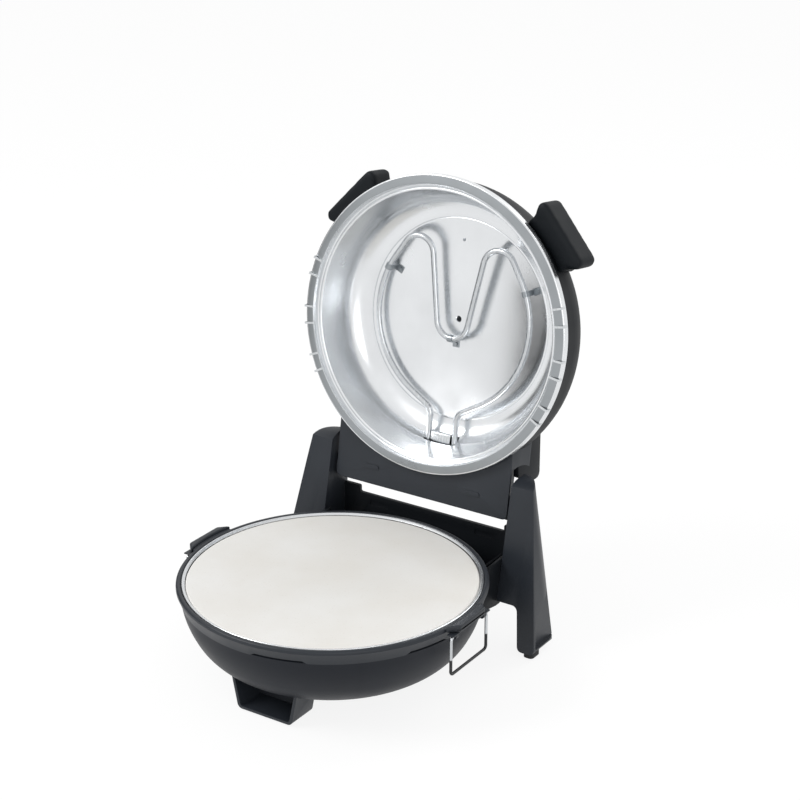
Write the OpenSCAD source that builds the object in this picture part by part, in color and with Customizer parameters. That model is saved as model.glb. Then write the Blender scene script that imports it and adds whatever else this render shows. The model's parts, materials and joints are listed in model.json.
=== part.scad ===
// Electric pizza maker: round base with a baking stone, hinged domed lid with
// a tube heater, splayed rear legs, a front foot and two swinging wire bails.
// Millimetres, +Z up, lid standing open. Y points to the hinge side.

/* [Base] */
// Height of the base rim above the worktop
rim_height = 111; // [106:1:120]
// Outer radius of the base rim
rim_radius = 165; // [155:1:180]
// Thickness of the moulded plastic walls
wall = 3; // [2:0.5:4]
// Height of the band below the rim
band_height = 22; // [18:1:28]
// How far the band draws in towards its lower edge
band_draft = 6; // [3:0.5:8]
// Width of the shadow gap between band and bowl
seam_gap = 2.5; // [1.5:0.5:4]
// Radius of the rounded side of the bowl
bowl_corner = 62; // [56:1:66]
// Length of the side ears along the rim
ear_length = 60; // [54:1:66]
// How far the ears stand out from the rim
ear_reach = 8.5; // [8:0.5:10]
// Thickness of the ears
ear_thickness = 8; // [6:0.5:10]

/* [Stone] */
// Distance from the edge of the stone to the outer edge of the rim
rim_width = 10; // [9.5:0.5:14]
// Thickness of the baking stone
stone_thickness = 12; // [8:1:15]
// Depth of the stone's face below the rim
stone_drop = 2; // [1:0.5:4]

/* [Heaters] */
// Radius of the heating tube
tube_radius = 3.3; // [2.5:0.1:4]
// Turn of the side clips along the heater's side bends
clip_turn = 24; // [10:1:30]
// Half distance between the two legs of a heater
leg_spacing = 17; // [14:1:20]
// Radius of the two lobes of a heater
lobe_radius = 20; // [17:1:22]
// Distance of the side bends from the edge of the flat disc
heater_margin = 17; // [15:1:20]
// Distance of the lobe centres inside the side bends
lobe_inset = 45; // [41:1:49]
// Height of the lobe centres above the middle of the heater
lobe_y = 67; // [60:1:70]
// Radius of the long side bends of a heater
side_radius = 105; // [100:1:110]

/* [Lid] */
// Height of the lid above its own rim
lid_depth = 85; // [82:1:90]
// How far the lid shell stands inside the rim
lid_inset = 4.5; // [3:0.5:5]
// Radius of the rounded edge of the lid shell
lid_corner = 51; // [46:1:54]
// Distance of the shell's middle from the middle of the rim, towards the hinge
shell_shift = 3; // [1:0.5:4]
// Height at which the lid shell starts above its rim
shell_start = 18; // [16:1:22]
// Gap between the closed lid and the base rim
lid_gap = 1; // [0.9:0.1:1.5]
// Radial width of the steel flange
flange_width = 11.5; // [9:0.5:13]
// Radius of the rounded edge of the disc inside the lid
dish_corner = 27; // [23:1:34]
// Depth of the flat disc inside the lid
disc_depth = 61; // [56:1:66]
// Thickness of the steel sheet
sheet = 1.2; // [0.8:0.1:1.6]
// Distance of the lid heater from the disc
heater_standoff = 13; // [10:1:16]
// Angle of each grip from the front of the lid
grip_angle = 48; // [42:1:54]
// Length of a grip around the lid
grip_length = 82; // [70:1:86]
// Height of a grip along the depth of the lid
grip_height = 34; // [28:1:38]
// How far a grip stands out from the lid shell
grip_reach = 24; // [18:1:26]

/* [Hinge] */
// Distance of the hinge axis behind the base rim
hinge_offset = 23; // [21:1:33]
// Height of the hinge axis above the base rim
hinge_up = 32.5; // [30:0.5:36]
// Opening angle of the lid
open_angle = 99; // [90:1:105]
// Radius of the hinge pins
pin_radius = 4; // [3:0.5:5]
// Radial running clearance of the hinge pins
pin_clearance = 0.05; // [0.03:0.01:0.08]
// Half width of the hinge housing
housing_half = 112; // [106:1:113]
// Gap between the hinge housing and the arms
arm_gap = 5.5; // [4:0.5:7]
// Radius of the arm tops around the hinge axis
arm_top = 42; // [38:1:44]
// Radius of the cut round the arm tops in the housing's sides
claw_radius = 50; // [47:1:54]

/* [Legs] */
// Half width over the arms at their tops
arm_half_top = 145; // [140:1:150]
// Half width over the feet of the rear legs
leg_half_foot = 171; // [165:1:175]
// Distance of the arm's front edge before the hinge axis, at the top
arm_lead = 20; // [16:1:24]
// How far the leg's foot stands before the top of the arm
leg_sweep = 37; // [30:1:42]
// Width of a rear leg
leg_width = 21; // [18:1:26]
// Height of the rear leg pads
leg_pad = 6; // [4:1:8]
// Half width of the front foot at its sole
foot_half = 34; // [28:1:40]
// Distance of the front foot's face inside the rim
foot_inset = 41; // [35:1:49]
// Length of the front foot from front to back
foot_length = 36; // [30:1:44]

/* [Bails] */
// Radius of the bail wire
wire_radius = 1.6; // [1.2:0.1:2]
// Half width of a bail
bail_half = 34; // [26:1:36]
// Drop of a bail below its pivots
bail_drop = 42; // [35:1:50]

/* [Hidden] */

$fn = 96;
hull_fn = 32;
touch = 0.2;
eps = 0.01;
huge = 400;
join = 0.06;

plastic = "#33373c";
dark_plastic = "#1f2226";
steel = "#cfd2d4";
dark_steel = "#8b9094";
stone_colour = "#f0ece2";
rubber = "#141517";

// Base outline, measured from the rim plane downwards
stone_radius = rim_radius - rim_width;
band_foot = rim_radius - band_draft;
bowl_radius = band_foot - wall - seam_gap;
bowl_depth = band_height + bowl_corner;
bowl_flat = bowl_radius - bowl_corner;
stone_gap = 0.4;
stone_rest = 0.3;
dish_floor = 50;
base_heater_drop = 36;
base_plate_back = stone_radius - 16;
dish_wall = stone_radius + stone_gap;
rim_wall = dish_wall + sheet + touch;
stone_bottom = stone_drop + stone_thickness;
flange_top = -stone_bottom - stone_rest - sheet - touch;
cover_radius = bowl_flat - 12;
cover_thickness = 2.5;

// Lid outline, measured from the lid rim upwards
lid_radius = rim_radius - lid_inset;
flange_inner = rim_radius - flange_width;
flange_skirt = 10;
step_height = 9;
throat_radius = flange_inner - 6;
dish_radius = throat_radius - 6.5;
disc_radius = dish_radius - dish_corner;
lid_plate_back = dish_radius + 1;
shell_inner = lid_radius - wall;
heater_depth = disc_depth - heater_standoff;
dome_flat = lid_radius - lid_corner;

// Heating tube, in its own plane with the legs towards -y
heater_bend = 14;
heater_run = 24.19;
side_middle = 3;

// Hinge and arms
hinge_back = rim_radius + hinge_offset;
arm_front_top = hinge_back - arm_lead;
leg_front_foot = arm_front_top - leg_sweep;
foot_front = rim_radius - foot_inset;
knuckle = pin_radius + 9.5;
housing_front = 11.6;
housing_box = 95;
arm_inner = housing_half + arm_gap;
knuckle_inner = housing_box + 2.5;
leg_fall = arm_top_z() + rim_height - leg_pad;
splay = atan((leg_half_foot - arm_half_top) / leg_fall);
lean = atan(leg_sweep / leg_fall);
frame_back = hinge_back + 3;
frame_front = frame_back - 91;
frame_wall = 4;
frame_bottom = 57;

// Overall reach before and behind the middle of the base
dome_reach = hinge_back - (dome_flat - shell_shift + hinge_back) * cos(open_angle)
    + (lid_depth - lid_corner + lid_gap - hinge_up) * sin(open_angle) + lid_corner;
base_y = (rim_radius - dome_reach) / 2;

function arm_top_z() = hinge_up + sqrt(pow(arm_top, 2) - pow(arm_lead, 2));

// Points of a circular arc from angle a0 to a1
function arc_points(centre, radius, a0, a1, steps = 8) =
    [for (i = [0 : steps]) let (a = a0 + (a1 - a0) * i / steps)
        centre + radius * [cos(a), sin(a)]];

// Corner of a polygon, rounded between its two neighbours
function fillet_points(before, corner, after, radius, steps = 6) =
    let (
        u = (before - corner) / norm(before - corner),
        v = (after - corner) / norm(after - corner),
        half = acos(u * v) / 2,
        centre = corner + (u + v) / norm(u + v) * radius / sin(half),
        start = corner + u * radius / tan(half) - centre,
        turn = sign(u[0] * v[1] - u[1] * v[0]) * (180 - 2 * half)
    )
    [for (i = [0 : steps]) let (a = turn * i / steps)
        centre + [start[0] * cos(a) + start[1] * sin(a), start[1] * cos(a) - start[0] * sin(a)]];

// Closed polygon with one rounding radius per corner
function rounded(points, radii) =
    let (n = len(points))
    [for (i = [0 : n - 1])
        each (radii[i] > 0
            ? fillet_points(points[(i + n - 1) % n], points[i], points[(i + 1) % n], radii[i])
            : [points[i]])];

module in_base() {
    translate([0, base_y, rim_height]) children();
}

// Closed-lid coordinates turned back about the hinge axis to the open pose
module in_lid() {
    in_base()
        translate([0, hinge_back, hinge_up])
            rotate([-open_angle, 0, 0])
                translate([0, -hinge_back, lid_gap - hinge_up])
                    children();
}

module mirrored() {
    children();
    mirror([1, 0, 0]) children();
}

module ring_around(count, radius, start = 0) {
    for (i = [0 : count - 1])
        rotate(start + 360 * i / count) translate([radius, 0, 0]) children();
}

// Solid half section of a flat-bottomed pan, hanging down from z = 0
module pan_section(radius, depth, corner, inset = 0) {
    flat = radius - corner;
    translate([0, inset - depth]) square([flat, depth - inset]);
    translate([0, corner - depth]) square([radius - inset, depth - corner]);
    translate([flat, corner - depth])
        intersection() {
            circle(corner - inset);
            translate([0, inset - corner]) square(corner - inset);
        }
}

module bowl_solid(grow = 0) {
    rotate_extrude() pan_section(bowl_radius, bowl_depth, bowl_corner, -grow);
}

module dome_solid(grow = 0) {
    translate([0, shell_shift, 0])
        rotate_extrude() mirror([0, 1]) pan_section(lid_radius, lid_depth, lid_corner, -grow);
}

// ---------------------------------------------------------------- base

module base_shell() {
    color(plastic) in_base() {
        difference() {
            union() {
                rotate_extrude()
                    translate([bowl_radius - wall, flange_top - wall])
                        square([rim_wall - touch - bowl_radius + wall, wall]);
                rotate_extrude()
                    difference() {
                        pan_section(bowl_radius, bowl_depth, bowl_corner);
                        pan_section(bowl_radius, bowl_depth, bowl_corner, wall);
                        translate([0, flange_top]) square([rim_radius, rim_radius]);
                    }
            }
            translate([0, 0, -bowl_depth - 1]) cylinder(h = wall + 2, r = cover_radius - 6);
            ring_around(4, cover_radius - 1, 45)
                translate([0, 0, -bowl_depth - 1]) cylinder(h = wall + 2, r = 1.7);
        }
        difference() {
            ring_around(4, cover_radius - 1, 45)
                translate([0, 0, wall - bowl_depth - eps]) cylinder(h = 10, r = 4.5);
            ring_around(4, cover_radius - 1, 45)
                translate([0, 0, -bowl_depth - 1]) cylinder(h = 20, r = 1.7);
        }
    }
}

module ear_plan() {
    polygon(rounded(
        [[rim_radius - 8, -ear_length / 2 - 6], [rim_radius + ear_reach, -ear_length / 2 + 4],
         [rim_radius + ear_reach, ear_length / 2 - 4], [rim_radius - 8, ear_length / 2 + 6]],
        [0, 7, 7, 0]));
}

module base_rim() {
    color(plastic) in_base() {
        rotate_extrude()
            polygon(concat(
                [[rim_wall, -11], [rim_wall, -2.5], [rim_wall + 2.5, 0]],
                arc_points([rim_radius - 3, -3], 3, 90, 0),
                [[band_foot, -band_height], [band_foot - wall, -band_height],
                 [rim_radius - wall - 1, -6], [rim_wall + wall, -6], [rim_wall + wall, -11]]));
        difference() {
            mirrored() translate([0, 0, 3 - ear_thickness]) linear_extrude(ear_thickness) ear_plan();
            translate([0, 0, -ear_thickness]) cylinder(h = 4 * ear_thickness, r = rim_radius - 0.6);
            translate([0, 0, 0]) cylinder(h = ear_thickness, r = rim_radius + 1);
        }
    }
}

// Section of the steel dish under the stone, measured from the rim plane
module base_dish_section(grow, top) {
    corner = 30;
    shelf = stone_radius - 8;
    flat = shelf - 5 - corner;
    shelf_z = -stone_bottom - stone_rest - grow;
    polygon(concat(
        [[0, -dish_floor - grow]],
        arc_points([flat, corner - dish_floor], corner + grow, -90, 0, 10),
        [[shelf + grow, shelf_z], [dish_wall + grow, shelf_z], [dish_wall + grow, top], [0, top]]));
}

module base_liner() {
    color(steel) in_base()
        difference() {
            rotate_extrude()
                difference() {
                    base_dish_section(sheet, -3.5);
                    base_dish_section(0, 1);
                }
            translate([0, 0, -dish_floor - 10]) cylinder(h = 20, r = 9);
            heater_window(base_plate_back, -base_heater_drop);
        }
}

// ------------------------------------------------------------- heaters

// Direction of the line that leaves circle a and joins circle b.
// Radii count positive for left turns and negative for right turns.
function tangent_heading(a, ra, b, rb) =
    let (d = b - a)
    atan2(d[1], d[0]) + asin((ra - rb) / norm(d));

// The base dish and the lid dish have flat discs of much the same radius
function side_centre() = [disc_radius - heater_margin - side_radius, side_middle];

// Where a straight of heater_run joins the leg's bend to the side bend
function bend_centre() =
    let (
        x = leg_spacing + heater_bend,
        reach = norm([side_radius + heater_bend, heater_run])
    )
    [x, side_middle - sqrt(pow(reach, 2) - pow(x - side_centre()[0], 2))];

// Straight stretch of rod in the xy plane
module rod_line(from, to, radius) {
    d = to - from;
    translate([from[0], from[1], 0])
        rotate([0, 90, atan2(d[1], d[0])]) cylinder(h = norm(d), r = radius);
}

// Bent stretch of rod: bend radius positive turns left, negative turns right.
// A short collar at each end carries it into the next stretch.
module rod_bend(centre, bend, from, to, radius) {
    side = sign(bend);
    a0 = side > 0 ? from - 90 : to + 90;
    a1 = side > 0 ? to - 90 : from + 90;
    translate([centre[0], centre[1], 0])
        rotate(a0)
            rotate_extrude(angle = a1 - a0)
                translate([abs(bend), 0]) circle(radius);
    for (heading = [from, to]) {
        end = on_bend(centre, bend, heading);
        translate([end[0], end[1], 0])
            rotate([0, 90, heading])
                cylinder(h = 1, r = radius + join, center = true);
    }
}

function on_bend(centre, radius, heading) =
    centre + radius * [sin(heading), -cos(heading)];

// One half of the heart-shaped tube, from its leg to the middle of the dip
module heater_half(leg_end) {
    bend = bend_centre();
    side = side_centre();
    lobe = [disc_radius - heater_margin - lobe_inset, lobe_y];
    dip = [0, 0];
    h1 = tangent_heading(bend, -heater_bend, side, side_radius);
    h2 = tangent_heading(side, side_radius, lobe, lobe_radius);
    h3 = 360 + tangent_heading(lobe, lobe_radius, dip, -lobe_radius);
    translate([leg_spacing, leg_end, 0]) rotate([-90, 0, 0])
        cylinder(h = bend[1] - leg_end, r = tube_radius);
    rod_bend(bend, -heater_bend, 90, h1, tube_radius);
    rod_line(on_bend(bend, -heater_bend, h1), on_bend(side, side_radius, h1), tube_radius);
    rod_bend(side, side_radius, h1, h2, tube_radius);
    rod_line(on_bend(side, side_radius, h2), on_bend(lobe, lobe_radius, h2), tube_radius);
    rod_bend(lobe, lobe_radius, h2, h3, tube_radius);
    rod_line(on_bend(lobe, lobe_radius, h3), on_bend(dip, -lobe_radius, h3), tube_radius);
    rod_bend(dip, -lobe_radius, h3, 180, tube_radius);
}

module heater_tube(leg_end) {
    mirrored() heater_half(leg_end);
}

// Opening in a dish wall for the heater legs, at the height of the tube
module heater_window(plate_back, z) {
    translate([-leg_spacing - 17, plate_back - 24, z - 10]) cube([2 * leg_spacing + 34, 40, 20]);
}

module heater_plate() {
    difference() {
        translate([-leg_spacing - 14, -sheet / 2, -8]) cube([2 * leg_spacing + 28, sheet, 16]);
        mirrored() translate([leg_spacing, 5, 0]) rotate([90, 0, 0]) cylinder(h = 10, r = tube_radius + 0.05);
    }
}

// Strap that holds the tube off the dish, foot towards +x. The tube bends
// round a centre at that distance along x.
module heater_clip(standoff, bend) {
    foot = 9;
    difference() {
        union() {
            translate([0, 3, 0]) rotate([90, 0, 0]) cylinder(h = 6, r = tube_radius + 1.2);
            translate([tube_radius - 0.6, -3, 0]) cube([1.4, 6, standoff]);
            translate([tube_radius - 0.6, -4, standoff - 1]) cube([foot, 8, 1]);
        }
        translate([bend, 0, 0]) rotate_extrude() translate([abs(bend), 0]) circle(tube_radius + 0.05);
    }
    translate([tube_radius + foot - 4, 0, standoff - 2.6]) cylinder(h = 1.6, r = 2.2);
}

// The feet of both side clips point the same way
module heater_clips(standoff) {
    side = side_centre();
    translate([side[0], side[1], 0]) rotate(clip_turn)
        translate([side_radius, 0, 0]) rotate(180) heater_clip(standoff, side_radius);
    translate([-side[0], side[1], 0]) rotate(180 - clip_turn)
        translate([side_radius, 0, 0]) heater_clip(standoff, -side_radius);
    translate([0, -lobe_radius, 0]) rotate(-90) heater_clip(standoff, -lobe_radius);
}

module base_heater() {
    color(dark_steel) in_base() translate([0, 0, -base_heater_drop]) rotate(180)
        heater_tube(-base_plate_back - 4);
}

module base_heater_clips() {
    color(steel) in_base() translate([0, 0, -base_heater_drop]) rotate(180)
        mirror([0, 0, 1]) heater_clips(dish_floor - base_heater_drop);
}

module base_heater_plate() {
    color(steel) in_base() translate([0, base_plate_back, -base_heater_drop]) heater_plate();
}

module limit_thermostat() {
    color(dark_steel) in_base() {
        translate([0, 0, -66]) cylinder(h = 20, r = 8);
        translate([0, 0, -66]) cylinder(h = 3, r = 12);
    }
}

// ------------------------------------------------------------ stone

module pizza_stone() {
    color(stone_colour) in_base()
        translate([0, 0, -stone_bottom])
            rotate_extrude()
                polygon(concat([[0, 0], [stone_radius - 1.5, 0], [stone_radius, 1.5]],
                    arc_points([stone_radius - 2, stone_thickness - 2], 2, 0, 90), [[0, stone_thickness]]));
}

// --------------------------------------------------------- underside

module bottom_cover() {
    color(dark_plastic) in_base()
        translate([0, 0, -bowl_depth - cover_thickness])
            difference() {
                cylinder(h = cover_thickness, r = cover_radius + 6);
                for (row = [-3 : 3])
                    translate([-26, row * 9 - 2, -1]) cube([52, 4, cover_thickness + 2]);
                ring_around(4, cover_radius - 1, 45)
                    translate([0, 0, -1]) cylinder(h = cover_thickness + 2, r = 1.9);
            }
}

module cover_screws() {
    color(steel) in_base()
        ring_around(4, cover_radius - 1, 45)
            translate([0, 0, -bowl_depth - cover_thickness]) {
                translate([0, 0, -1.8]) cylinder(h = 1.8, r = 3.4);
                translate([0, 0, -eps]) cylinder(h = 10, r = 1.6);
            }
}

module front_foot() {
    sole = rim_height - 2;
    top = bowl_depth - 20;
    color(plastic) in_base()
        difference() {
            translate([0, foot_length - foot_front, 0]) rotate([90, 0, 0])
                linear_extrude(foot_length)
                    polygon(rounded(
                        [[-foot_half, -sole], [foot_half, -sole],
                         [foot_half + 9, -top], [-foot_half - 9, -top]],
                        [6, 6, 0, 0]));
            translate([0, foot_length - foot_front - wall, 0]) rotate([90, 0, 0])
                linear_extrude(foot_length)
                    polygon(rounded(
                        [[wall - foot_half, wall - sole], [foot_half - wall, wall - sole],
                         [foot_half + 9 - wall, -top + 1], [-foot_half - 9 + wall, -top + 1]],
                        [4, 4, 0, 0]));
            bowl_solid(touch);
        }
}

module front_foot_pads() {
    color(rubber) in_base() mirrored()
        translate([foot_half - 13, foot_length / 2 - foot_front, -rim_height]) cylinder(h = 2, r = 7);
}

module cord_gland() {
    color(rubber) in_base()
        translate([-62, 0, -52]) {
            translate([0, frame_back + frame_wall, 0]) rotate([-90, 0, 0])
                difference() {
                    union() {
                        cylinder(h = 4, r = 9);
                        cylinder(h = 10, r = 6.5);
                    }
                    translate([0, 0, -1]) cylinder(h = 13, r = 3.6);
                }
        }
}

// ----------------------------------------------------- rear structure

// Side outline of an arm and its leg, as y and z
function arm_side_points() =
    let (
        top_angle = 180 - asin((arm_top_z() - hinge_up) / arm_top),
        sole = leg_pad - rim_height,
        back = hinge_back + 13
    )
    concat(
        arc_points([hinge_back, hinge_up], arm_top, 180 - (180 - top_angle), 72, 12),
        [[back, 45], [back - 4, -45], [back - 6, sole + 26], [back - 22, sole + 3], [back - 30, sole],
         [leg_front_foot, sole]]);

module arm_front_outline() {
    sole = leg_pad - rim_height;
    top = hinge_up + arm_top + 1;
    slope = tan(splay);
    outer_top = arm_half_top - (top - arm_top_z()) * slope;
    inner_step = arm_half_top + (arm_top_z() + frame_bottom) * slope - leg_width;
    polygon(rounded(
        [[arm_inner, top], [outer_top, top], [leg_half_foot, sole],
         [leg_half_foot - leg_width, sole], [inner_step, -frame_bottom], [arm_inner, -frame_bottom]],
        [3, 7, 5, 6, 7, 0]));
}

// Keeps the outer back edge of the arm rounded along its whole height
module arm_round_back() {
    corner = 34;
    flank = hinge_back - 25;
    translate([leg_half_foot, 0, leg_pad - rim_height])
        rotate([0, -splay, 0])
            translate([0, 0, -20])
                linear_extrude(huge)
                    polygon(concat(
                        [[-90, flank - 73], [0, flank - 73]],
                        arc_points([-corner, flank], corner, 0, 90, 12),
                        [[-90, flank + corner]]));
}

module arm_body() {
    difference() {
        union() {
            intersection() {
                translate([arm_inner, 0, 0]) rotate([90, 0, 90])
                    linear_extrude(leg_half_foot - arm_inner + 1) polygon(arm_side_points());
                translate([0, hinge_back + 40, 0]) rotate([90, 0, 0])
                    linear_extrude(150) arm_front_outline();
                arm_round_back();
            }
            translate([knuckle_inner, hinge_back, hinge_up]) rotate([0, 90, 0])
                cylinder(h = arm_inner + 10 - knuckle_inner, r = knuckle);
        }
        translate([knuckle_inner - 1, hinge_back, hinge_up]) rotate([0, 90, 0])
            cylinder(h = arm_inner + 9 - knuckle_inner, r = pin_radius + 0.02);
        leg_pocket();
    }
}

// Recess in the outer side of the leg behind a thin front rim
module leg_pocket() {
    sole = leg_pad - rim_height;
    front = leg_front_foot + 3.5;
    lean_slope = tan(lean);
    translate([leg_half_foot, 0, sole]) rotate([0, -splay, 0])
        translate([-5, 0, 0]) rotate([90, 0, 90])
            linear_extrude(20)
                polygon(rounded(
                    [[front + 1.5, 5], [front + 60, 5], [front + 60, 72], [front + 42 * lean_slope, 36]],
                    [2, 0, 0, 3]));
}

module arm_left() {
    color(plastic) in_base() mirror([1, 0, 0]) arm_body();
}

module arm_right() {
    color(plastic) in_base() arm_body();
}

module leg_pad_solid() {
    translate([leg_half_foot - leg_width / 2 + 1, leg_front_foot + 12, -rim_height])
        linear_extrude(leg_pad)
            polygon(rounded([[-6, -9], [6, -9], [6, 9], [-6, 9]], [4, 4, 4, 4]));
}

module leg_pad_left() {
    color(rubber) in_base() mirror([1, 0, 0]) leg_pad_solid();
}

module leg_pad_right() {
    color(rubber) in_base() leg_pad_solid();
}

module rear_frame() {
    end = arm_inner - touch / 2;
    window = housing_box + 1;
    color(dark_plastic) in_base() {
        difference() {
            translate([0, frame_back + frame_wall, 0]) rotate([90, 0, 0])
                linear_extrude(frame_wall)
                    polygon(rounded(
                        [[-end, -frame_bottom], [end, -frame_bottom], [end, 9], [window, 9],
                         [window, 1], [-window, 1], [-window, 9], [-end, 9]],
                        [0, 0, 2, 2, 2, 2, 2, 2]));
            mirrored()
                translate([58, frame_back - 1, -12]) cube([24, 2, 6]);
            translate([-62, frame_back - 1, -52]) rotate([-90, 0, 0]) cylinder(h = frame_wall + 2, r = 3.6);
        }
        difference() {
            union() {
                translate([-100, frame_front, -frame_bottom]) cube([200, frame_back - frame_front, 3]);
                mirrored()
                    for (x = [30, 92])
                        translate([x, frame_front, -frame_bottom]) cube([3, frame_back - frame_front, 30]);
            }
            bowl_solid(touch);
            translate([0, 0, -frame_bottom - 5]) cylinder(h = 50, r = bowl_radius - 12);
        }
    }
}

module hinge_pins() {
    color(steel) in_base() mirrored()
        translate([housing_box - 9, hinge_back, hinge_up]) rotate([0, 90, 0])
            cylinder(h = arm_inner + 7 - housing_box + 9, r = pin_radius);
}

module frame_screws() {
    color(steel) in_base() mirrored()
        for (z = [-18, -44])
            translate([arm_inner - 11.5, frame_back + frame_wall, z]) rotate([-90, 0, 0])
                cylinder(h = 2.2, r = 4);
}

// ------------------------------------------------------------- bails

bail_x = rim_radius + 3.5;
bail_z = 3 - ear_thickness - 3.5;
lug = 5;
wire_bend = 4;
lug_end = bail_half - wire_bend - 1;

module bail_hanger() {
    pad_low = 3 - ear_thickness;
    cheek = wire_radius + 1.8;
    difference() {
        union() {
            translate([bail_x - 4, -bail_half - 1, pad_low - 1.2]) cube([8, 2 * bail_half + 2, 1.2]);
            for (side = [-1, 1])
                translate([bail_x, side * (lug_end - lug / 2) + lug / 2, bail_z])
                    rotate([90, 0, 0]) {
                        cylinder(h = lug, r = cheek);
                        translate([-cheek, 0, 0]) cube([2 * cheek, pad_low - bail_z - 0.1, lug]);
                    }
        }
        translate([bail_x, bail_half + 5, bail_z]) rotate([90, 0, 0])
            cylinder(h = 2 * bail_half + 10, r = wire_radius + pin_clearance);
        translate([0, 0, -band_height]) cylinder(h = band_height, r = rim_radius + touch / 2);
    }
}

// Half of a bail in its own plane: x along the hanger, y down the drop
module bail_half_wire() {
    tip = lug_end - lug - 1.5;
    low = bail_drop - wire_bend;
    side = bail_half - wire_bend;
    translate([tip, 0, 0]) rotate([0, 90, 0]) cylinder(h = side - tip, r = wire_radius);
    rod_bend([side, wire_bend], wire_bend, 0, 90, wire_radius);
    rod_line([bail_half, wire_bend], [bail_half, low], wire_radius);
    rod_bend([side, low], wire_bend, 90, 180, wire_radius);
}

module bail_wire() {
    half = bail_half - wire_bend;
    translate([bail_x, 0, bail_z]) rotate([-90, 0, 90]) {
        mirrored() bail_half_wire();
        translate([-half, bail_drop, 0]) rotate([0, 90, 0]) cylinder(h = 2 * half, r = wire_radius);
    }
}

module bail_hanger_left() {
    color(plastic) in_base() mirror([1, 0, 0]) bail_hanger();
}

module bail_hanger_right() {
    color(plastic) in_base() bail_hanger();
}

module bail_left() {
    color(steel) in_base() mirror([1, 0, 0]) bail_wire();
}

module bail_right() {
    color(steel) in_base() bail_wire();
}

// --------------------------------------------------------------- lid

module lid_shell() {
    color(plastic) in_lid() translate([0, shell_shift, 0])
        rotate_extrude()
            difference() {
                mirror([0, 1]) pan_section(lid_radius, lid_depth, lid_corner);
                mirror([0, 1]) pan_section(lid_radius, lid_depth, lid_corner, wall);
                translate([0, -1]) square([lid_radius + 5, shell_start + 1]);
            }
}

module lid_rim_ring() {
    outer = shell_inner - touch;
    inner = outer - 5;
    low = flange_skirt + 0.6;
    color(dark_plastic) in_lid() translate([0, shell_shift, 0])
        rotate_extrude()
            polygon([
                [inner, low], [outer - 2, low], [outer - 2, shell_start - 1.5], [outer, shell_start - 1.5],
                [outer, shell_start + 10], [outer - 3, shell_start + 10], [inner, shell_start + 2]]);
}

// Inside of the polished dish, rising from the lid rim
module lid_dish_section(grow = 0) {
    translate([0, -grow]) square([flange_inner + grow, step_height + 2 * grow]);
    polygon([[0, step_height], [throat_radius + grow, step_height],
        [dish_radius + grow, disc_depth - dish_corner], [0, disc_depth - dish_corner]]);
    translate([disc_radius, disc_depth - dish_corner])
        intersection() {
            circle(dish_corner + grow);
            square(dish_corner + grow);
        }
    translate([0, disc_depth - dish_corner - 5]) square([disc_radius, dish_corner + 5 + grow]);
}

module lid_liner() {
    bead = 1.8;
    color(steel) in_lid()
        difference() {
            rotate_extrude() {
                difference() {
                    union() {
                        lid_dish_section(sheet);
                        square([rim_radius, sheet]);
                        translate([rim_radius - sheet, 0]) square([sheet, flange_skirt]);
                    }
                    translate([0, 0]) lid_dish_section();
                    translate([0, -5]) square([flange_inner, 6]);
                    translate([0, -sheet - 5]) square([rim_radius + 5, sheet + 5]);
                }
                translate([throat_radius + 1.5, step_height - 0.4]) circle(bead, $fn = 32);
            }
            translate([0, 0, disc_depth - 1]) cylinder(h = 5, r = 3);
            heater_window(lid_plate_back, heater_depth);
        }
}

// Folded clips over the flange, three pairs of prongs on each side
module liner_clips() {
    color(steel) in_lid() mirrored()
        for (angle = [-14, 6, 25.5])
            rotate(angle)
                for (side = [-1, 1])
                    rotate(side * 3.4)
                        translate([0, -1.2, 0]) {
                            translate([flange_inner + 0.4, 0, -0.45]) cube([flange_width + 0.2, 2.4, 0.45]);
                            translate([rim_radius, 0, -0.45]) cube([0.6, 2.4, 8]);
                        }
}

module lid_heater() {
    color(dark_steel) in_lid() translate([0, 0, heater_depth]) rotate(180)
        heater_tube(-lid_plate_back - 8);
}

module lid_heater_clips() {
    color(steel) in_lid() translate([0, 0, heater_depth]) rotate(180) heater_clips(heater_standoff);
}

module lid_heater_plate() {
    color(steel) in_lid() translate([0, lid_plate_back, heater_depth]) heater_plate();
}

module lid_thermostat() {
    color(dark_plastic) in_lid() {
        translate([0, 0, disc_depth + sheet]) cylinder(h = 3, r = 9);
        translate([0, 0, disc_depth + sheet + 3]) cylinder(h = 9, r = 7);
    }
}

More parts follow.
